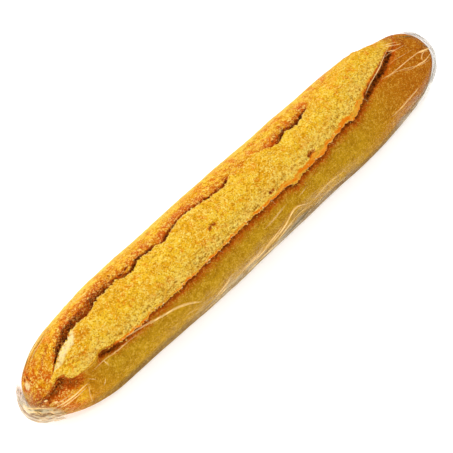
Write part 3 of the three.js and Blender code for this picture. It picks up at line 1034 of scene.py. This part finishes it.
def placed_group(w, group, **inputs):
    made = w.tree.nodes.new("ShaderNodeGroup")
    made.node_tree = group
    for name, value in inputs.items():
        w.feed(made.inputs[name], value)
    return made.outputs


def new_material(name):
    """A material with only a Principled BSDF, its wiring and that shader's inputs."""
    material = bpy.data.materials.new(name)
    material.use_nodes = True
    shader = material.node_tree.nodes["Principled BSDF"]
    return material, Wiring(material.node_tree), shader.inputs


def baked_grain():
    """Fine grain of baked flour: light and dark speckle, and their relief."""
    group, w, given, result = effect_group("baked_grain", ("Grit",), ("Light", "Dark", "Height"))
    grains = w.add("TexVoronoi", {"Vector": given["Place"], "Scale": 1 / (0.85 * MM)}).outputs
    shade = w.add("SeparateColor", {"Color": grains["Color"]}).outputs["Red"]
    fine = w.noise(given["Place"], 0.8 * MM, 1, 0.6)
    coarse = w.noise(given["Place"], 3 * MM, 3, 0.6, 0.4)
    speckle = w.maths("ADD", w.both(shade, 0.3), w.both(fine, 0.5))
    speckle = w.maths("ADD", speckle, w.both(coarse, 0.46))
    speckle = w.maths("ADD", speckle, w.both(w.maths("SUBTRACT", given["Grit"], 0.5), 0.06))
    w.feed(result["Light"], w.between(speckle, 0.65, 0.82))
    w.feed(result["Dark"], w.between(speckle, 0.59, 0.44))
    w.feed(result["Height"], w.maths("SUBTRACT", speckle, w.both(grains["Distance"], 0.4)))
    return group


CRUST_GOLD = colour(198, 148, 20)
CRUST_BROWN = colour(183, 131, 12)
CRUST_LIGHT = colour(238, 194, 76)
CRUST_DARK = colour(134, 84, 4)
BASE_SHADE_BROWN = colour(124, 88, 30)
NOSE_BROWN = colour(186, 96, 0)
NOSE_RED = colour(158, 68, 0)
NOSE_ORANGE = colour(198, 112, 6)

TONGUE_GOLD = colour(236, 170, 14)
TONGUE_LIGHT = colour(246, 194, 36)
TONGUE_ORANGE = colour(234, 136, 4)
TONGUE_PEAK = colour(255, 228, 116)
TONGUE_DARK = colour(190, 120, 2)
PALE_CRUMB = colour(254, 232, 168)
DRY_CRUMB = colour(248, 208, 92)
OLIVE_PORE_SHADE = colour(176, 120, 14)

FAR_GOLD = colour(228, 156, 8)
FAR_BRIGHT = colour(244, 192, 44)
FAR_PALE = colour(250, 206, 82)
FAR_ORANGE = colour(226, 122, 0)
FAR_RED = colour(208, 88, 0)
NOSE_EMBER = colour(204, 92, 2)
RIM_ORANGE = colour(236, 126, 4)
RIM_HIGHLIGHT = colour(252, 182, 56)
EMBER = colour(200, 76, 0)
# Colours of the painted shade in the crack, the pits and under the lip.
SHADE_RUST = colour(146, 66, 0)
SHADE_MAROON = colour(80, 28, 0)


def crust_colours(w, masks, along, mottle, streak):
    """Baked crust: brown gold, burnt at the noses, brighter and redder on the far side, and darker towards
    the base with painted shade.
    """
    scorch, flank = masks["scorch"], masks["flank"]
    crust = w.mix(w.between(mottle, 0.36, 0.62), CRUST_BROWN, CRUST_GOLD)
    crust = w.mix(w.between(along, 85 * MM, 165 * MM, 0, 0.85), crust, NOSE_BROWN)
    burnt = w.both(w.between(along, 140 * MM, 185 * MM), w.between(mottle, 0.5, 0.64, 0, 0.8))
    crust = w.mix(burnt, crust, NOSE_RED)
    crust = w.mix(w.between(along, -135 * MM, -178 * MM, 0, 0.85), crust, NOSE_ORANGE)
    far = w.mix(w.between(streak, 0.42, 0.56), FAR_BRIGHT, FAR_GOLD)
    far = w.mix(w.between(mottle, 0.5, 0.62, 0, 0.9), far, FAR_ORANGE)
    hot = w.mix(w.between(streak, 0.44, 0.58), FAR_ORANGE, FAR_RED)
    far = w.mix(w.both(w.between(scorch, 0.3, 0.9), w.between(mottle, 0.4, 0.56, 0.15, 1)), far, hot)
    far = w.mix(w.both(flank, w.between(mottle, 0.35, 0.6, 0.95, 0.65)), far, FAR_PALE)
    crust = w.mix(w.between(w.most(scorch, flank), 0.02, 0.25), crust, far)
    tip = w.both(w.between(along, -160 * MM, -180 * MM), w.between(mottle, 0.38, 0.54, 0.1, 0.8))
    crust = w.mix(tip, crust, NOSE_EMBER)
    return w.mix(masks["under"], crust, BASE_SHADE_BROWN)


def crumb_colours(w, masks, place, mottle, pockets):
    """Open crumb: gold with orange blotches, dry where it is porous, with painted shade in its pits and dark
    flecks between its fibres.
    """
    porous = masks["porous"]
    blotch = w.noise(place, 16 * MM, 3, 0.6, 0.6)
    fibres = w.noise(w.stretched(place, (0.5, 1, 1)), 1.5 * MM, 2, 0.6, 0.6)
    soft = w.mix(w.between(blotch, 0.42, 0.58), TONGUE_GOLD, TONGUE_LIGHT)
    soft = w.mix(w.between(mottle, 0.53, 0.64, 0, 0.75), soft, TONGUE_ORANGE)
    peaks = w.both(w.between(pockets, 0.5, 0.64), w.between(mottle, 0.55, 0.45, 0, 0.5))
    soft = w.mix(peaks, soft, TONGUE_PEAK)
    soft = w.mix(w.both(porous, w.between(mottle, 0.35, 0.55, 0.15, 0.6)), soft, DRY_CRUMB)
    soft = w.mix(w.both(porous, w.between(fibres, 0.55, 0.66, 0, 0.7)), soft, TONGUE_PEAK)
    # Painted shade in the pores and between the fibres.
    soft = w.mix(w.both(porous, w.between(fibres, 0.46, 0.34, 0, 0.75)), soft, OLIVE_PORE_SHADE)
    return w.mix(w.both(porous, w.between(masks["grit"], 0.22, 0.02, 0, 0.8)), soft, OLIVE_PORE_SHADE)


def bread_material(grain_group):
    """Baked crust and crumb: each stretch of the loaf has its own colours, told apart by the masks."""
    material, w, shader = new_material("baked_bread")
    place = w.place()
    masks = {mask: w.mask(mask) for mask in MASKS}
    crumb, pale, scorch = masks["crumb"], masks["pale"], masks["scorch"]
    along = w.add("SeparateXYZ", {"Vector": place}).outputs["X"]
    grain = placed_group(w, grain_group, Place=place, Grit=masks["grit"])
    mottle = w.noise(place, 8 * MM, 3, 0.6, 0.4)
    streak = w.noise(w.stretched(place, (0.3, 1, 1)), 4 * MM, 3, 0.6, 0.3)
    pockets = w.noise(place, 2.4 * MM, 3, 0.7, 0.8)
    crust = crust_colours(w, masks, along, mottle, streak)
    soft = crumb_colours(w, masks, place, mottle, pockets)

    base = w.mix(w.between(crumb, 0.15, 0.75), crust, soft)
    # The rim keeps its own orange, streaked with painted highlights along the lip's edge.
    rim = w.both(masks["rim"], w.between(streak, 0.6, 0.4, 0.55, 1))
    rim_orange_and_highlight = w.mix(w.between(streak, 0.42, 0.58), RIM_ORANGE, RIM_HIGHLIGHT)
    base = w.mix(w.between(rim, 0.3, 0.75), base, rim_orange_and_highlight)
    bleached = w.both(w.between(pale, 0.1, 0.8), w.between(mottle, 0.3, 0.6, 0.6, 0.95))
    base = w.mix(bleached, base, PALE_CRUMB)
    # Painted shade: ember, rust and maroon darken the crack, the pits and the crust under the lip's
    # overhang, deepest where the shade is; the ember patches beside the crack and the faint streaks are the
    # crust's own colour.
    torn = w.both(masks["torn"], w.between(pockets, 0.36, 0.6, 1.25, 0.6))
    base = w.mix(w.between(torn, 0.0, 0.3, 0, 0.85), base, EMBER)
    base = w.mix(w.between(torn, 0.25, 0.65), base, SHADE_RUST)
    base = w.mix(w.between(torn, 0.65, 1), base, SHADE_MAROON)

    bright = w.mix(w.most(crumb, w.between(scorch, 0.1, 0.4)), CRUST_LIGHT, TONGUE_PEAK)
    gloom = w.mix(crumb, CRUST_DARK, TONGUE_DARK)
    gloom = w.mix(w.between(scorch, 0.2, 0.6, 0, 0.7), gloom, EMBER)
    even = w.between(w.most(w.both(rim, 0.7), torn), 0.2, 0.75, 1, 0.12)
    rough = w.most(w.most(crumb, scorch), w.both(masks["flank"], 0.6))
    lit = w.both(w.both(grain["Light"], even), w.between(rough, 0, 1, 0.45, 0.85))
    base = w.mix(lit, base, bright)
    even = w.both(even, w.between(pale, 0.1, 0.6, 1, 0.55))
    shaded = w.both(w.both(grain["Dark"], even), w.between(rough, 0, 1, 0.45, 0.8))
    w.feed(shader["Base Color"], w.mix(shaded, base, gloom))
    w.feed(shader["Roughness"], w.between(grain["Height"], 0.3, 0.7, 0.85, 0.7))
    shader["Specular IOR Level"].default_value = 0.06
    w.feed(shader["Normal"], w.bump(w.between(rough, 0, 1, 0.35, 0.8), 0.8 * MM, grain["Height"]))
    return material


def film_clarity():
    """Milkiness of stretched film, streaked with painted sheen, and its fine crinkles."""
    group, w, given, result = effect_group("film_clarity", ("Milk",), ("Hazy_sheen", "Height"))
    slanted = w.stretched(given["Place"], (0.25, 1, 1), (0, math.radians(14), 0))
    folds = w.noise(slanted, 4 * MM, 4, 0.6, 0.8)
    hazy_sheen = w.between(folds, 0.42, 0.62, 0.3, 1)
    w.feed(result["Hazy_sheen"], w.both(given["Milk"], hazy_sheen))
    w.feed(result["Height"], folds)
    return group


# Colours of the film's milky haze and painted sheen.
FILM_CREAM = colour(248, 226, 172)
FILM_SILVER = colour(226, 218, 196)
# Pleat colours: tan and silver through the gathered film, with painted highlights in cream and white and
# painted shade in brown and grey.
PLEAT_TAN = colour(208, 160, 88)
PLEAT_SILVER = colour(190, 180, 156)
PLEAT_HIGHLIGHT_CREAM = colour(255, 238, 188)
PLEAT_HIGHLIGHT_WHITE = colour(250, 244, 226)
PLEAT_SHADE_BROWN = colour(134, 92, 38)
PLEAT_SHADE_GREY = colour(160, 144, 112)
FOLD_SHADE_BROWN = colour(112, 98, 56)
CREASE_HIGHLIGHT_CREAM = colour(255, 216, 142)


def film_material(clarity_group):
    """Clear where it clings, milky with painted sheen low on the sides, and pleated where the noses draw it
    together, the pleats painted with highlights and shade.
    """
    material, w, shader = new_material("clear_film")
    place = w.place()
    gather = w.mask("gather")
    parts = w.add("SeparateXYZ", {"Vector": place}).outputs
    side = w.between(parts["X"], -0.1, 0.1)
    clarity = placed_group(w, clarity_group, Place=place, Milk=w.mask("milk"))
    gloss = w.add("Fresnel", {"IOR": 1.12}).outputs["Fac"]
    outside = w.maths("SUBTRACT", 1, w.add("NewGeometry").outputs["Backfacing"])
    gloss = w.both(w.both(gloss, outside), 0.35)
    hazy_sheen = w.both(clarity["Hazy_sheen"], 0.6)

    level = w.stretched(place, (0.35, 0.16, 1), (math.radians(12), 0, 0))
    crumple = w.noise(level, 2 * MM, 3, 0.65, 0.5)
    # The pleats' light and dark bands are painted highlights and painted shade of the crumpled film.
    pale = w.mix(side, PLEAT_HIGHLIGHT_CREAM, PLEAT_HIGHLIGHT_WHITE)
    painted_shade = w.mix(side, PLEAT_SHADE_BROWN, PLEAT_SHADE_GREY)
    pleats = w.mix(w.between(crumple, 0.47, 0.56), w.mix(side, PLEAT_TAN, PLEAT_SILVER), pale)
    pleats = w.mix(w.between(crumple, 0.47, 0.41), pleats, painted_shade)
    w.feed(shader["Base Color"], w.mix(gather, w.mix(side, FILM_CREAM, FILM_SILVER), pleats))
    shader["Roughness"].default_value = 0.15
    w.feed(shader["Metallic"], w.between(w.most(hazy_sheen, gather), 0.0, 0.15, 1.0, 0.0))
    pleated = w.both(gather, w.between(crumple, 0.6, 0.4, 0.55, 0.85))
    w.feed(shader["Alpha"], w.most(w.maths("ADD", gloss, hazy_sheen), pleated))
    height = w.maths("ADD", clarity["Height"], w.both(gather, crumple))
    w.feed(shader["Normal"], w.bump(0.5, 0.4 * MM, height))
    return material


def crease_material(clarity_group):
    """Film doubled into ridges: a painted cream highlight, glowing a little, where it catches the light, and
    painted brown shade where a fold stays dark.
    """
    material, w, shader = new_material("creased_film")
    ridge, fold = w.mask("ridge"), w.mask("fold")
    clarity = placed_group(w, clarity_group, Place=w.place(), Milk=ridge)
    w.feed(shader["Base Color"], w.mix(fold, CREASE_HIGHLIGHT_CREAM, FOLD_SHADE_BROWN))
    # Painted glow: the highlight emits a little light of its own.
    w.feed(shader["Emission Color"], w.mix(fold, CREASE_HIGHLIGHT_CREAM, (0, 0, 0, 1)))
    shader["Emission Strength"].default_value = 0.35
    shader["Roughness"].default_value = 0.5
    shader["Specular IOR Level"].default_value = 0.1
    doubled = w.maths("ADD", w.both(ridge, w.between(fold, 0, 1, 0.6, 1)), clarity["Hazy_sheen"])
    w.feed(shader["Alpha"], w.both(doubled, 0.7))
    w.feed(shader["Normal"], w.bump(0.4, 0.3 * MM, clarity["Height"]))
    return material


def studio_floor():
    """A broad pale table top."""
    bm = bmesh.new()
    bmesh.ops.create_grid(bm, x_segments=1, y_segments=1, size=4)
    floor = finished("table_top", bm)
    material, _, shader = new_material("pale_table")
    shader["Base Color"].default_value = (0.93, 0.93, 0.93, 1)
    shader["Roughness"].default_value = 0.8
    shader["Emission Color"].default_value = (1, 1, 1, 1)
    shader["Emission Strength"].default_value = 0.5
    floor.data.materials.append(material)


def aimed(thing, place, target):
    thing.location = place
    thing.rotation_euler = (target - place).to_track_quat("-Z", "Y").to_euler()
    bpy.context.collection.objects.link(thing)


def soft_light(name, place, size, energy):
    light = bpy.data.lights.new(name, "AREA")
    light.size = size
    light.energy = energy
    aimed(bpy.data.objects.new(name, light), Vector(place), Vector((0, 0, 0.02)))


def studio_light():
    """A key light from behind and to the far side, a weaker fill, and a white room."""
    soft_light("key_light", (-0.25, 0.85, 0.95), 0.5, 5.5)
    soft_light("fill_light", (-0.6, -0.8, 1.2), 1.2, 2)
    world = bpy.data.worlds.new("white_room")
    world.use_nodes = True
    world.node_tree.nodes["Background"].inputs["Color"].default_value = (1, 1, 1, 1)
    world.node_tree.nodes["Background"].inputs["Strength"].default_value = 0.8
    bpy.context.scene.world = world
    bpy.context.scene.view_settings.view_transform = "Standard"


CAMERA_TARGET = Vector((-0.0113, -0.00165, 0.025))
CAMERA_AZIMUTH = math.radians(-46.9)
CAMERA_ELEVATION = math.radians(60)
CAMERA_DISTANCE = 1.2
CAMERA_LENS = 139.7


def camera():
    data = bpy.data.cameras.new("camera")
    data.lens = CAMERA_LENS
    level = math.cos(CAMERA_ELEVATION)
    right, back = math.sin(CAMERA_AZIMUTH) * level, -math.cos(CAMERA_AZIMUTH) * level
    away = Vector((right, back, math.sin(CAMERA_ELEVATION)))
    piece = bpy.data.objects.new("camera", data)
    aimed(piece, CAMERA_TARGET + away * CAMERA_DISTANCE, CAMERA_TARGET)
    bpy.context.scene.camera = piece


def dress(piece, material):
    """Gives a piece its finish, and sets it on the loaf in place of the solid."""
    piece.data.materials.append(material)
    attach(piece, "root")
    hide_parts(NODE)


camera()
studio_floor()
studio_light()
grain_group = baked_grain()
clarity_group = film_clarity()
bread_places = stations(BREAD, BREAD_STATIONS)
bread_rings = [bread_ring(x) for x in bread_places]
baked = bread_material(grain_group)
dress(wrapped_skin("bread", bread_rings, MASKS), baked)
dress(crust_crumbs(bread_places, bread_rings), baked)
drape = Drape(bread_places[::2], bread_rings[::2])
film_rings = [film_ring(x, drape) for x in stations(FILM, FILM_STATIONS)]
film = wrapped_skin("film", film_rings, ("milk", "gather"))
dress(film, film_material(clarity_group))
dress(film_creases(drape), crease_material(clarity_group))
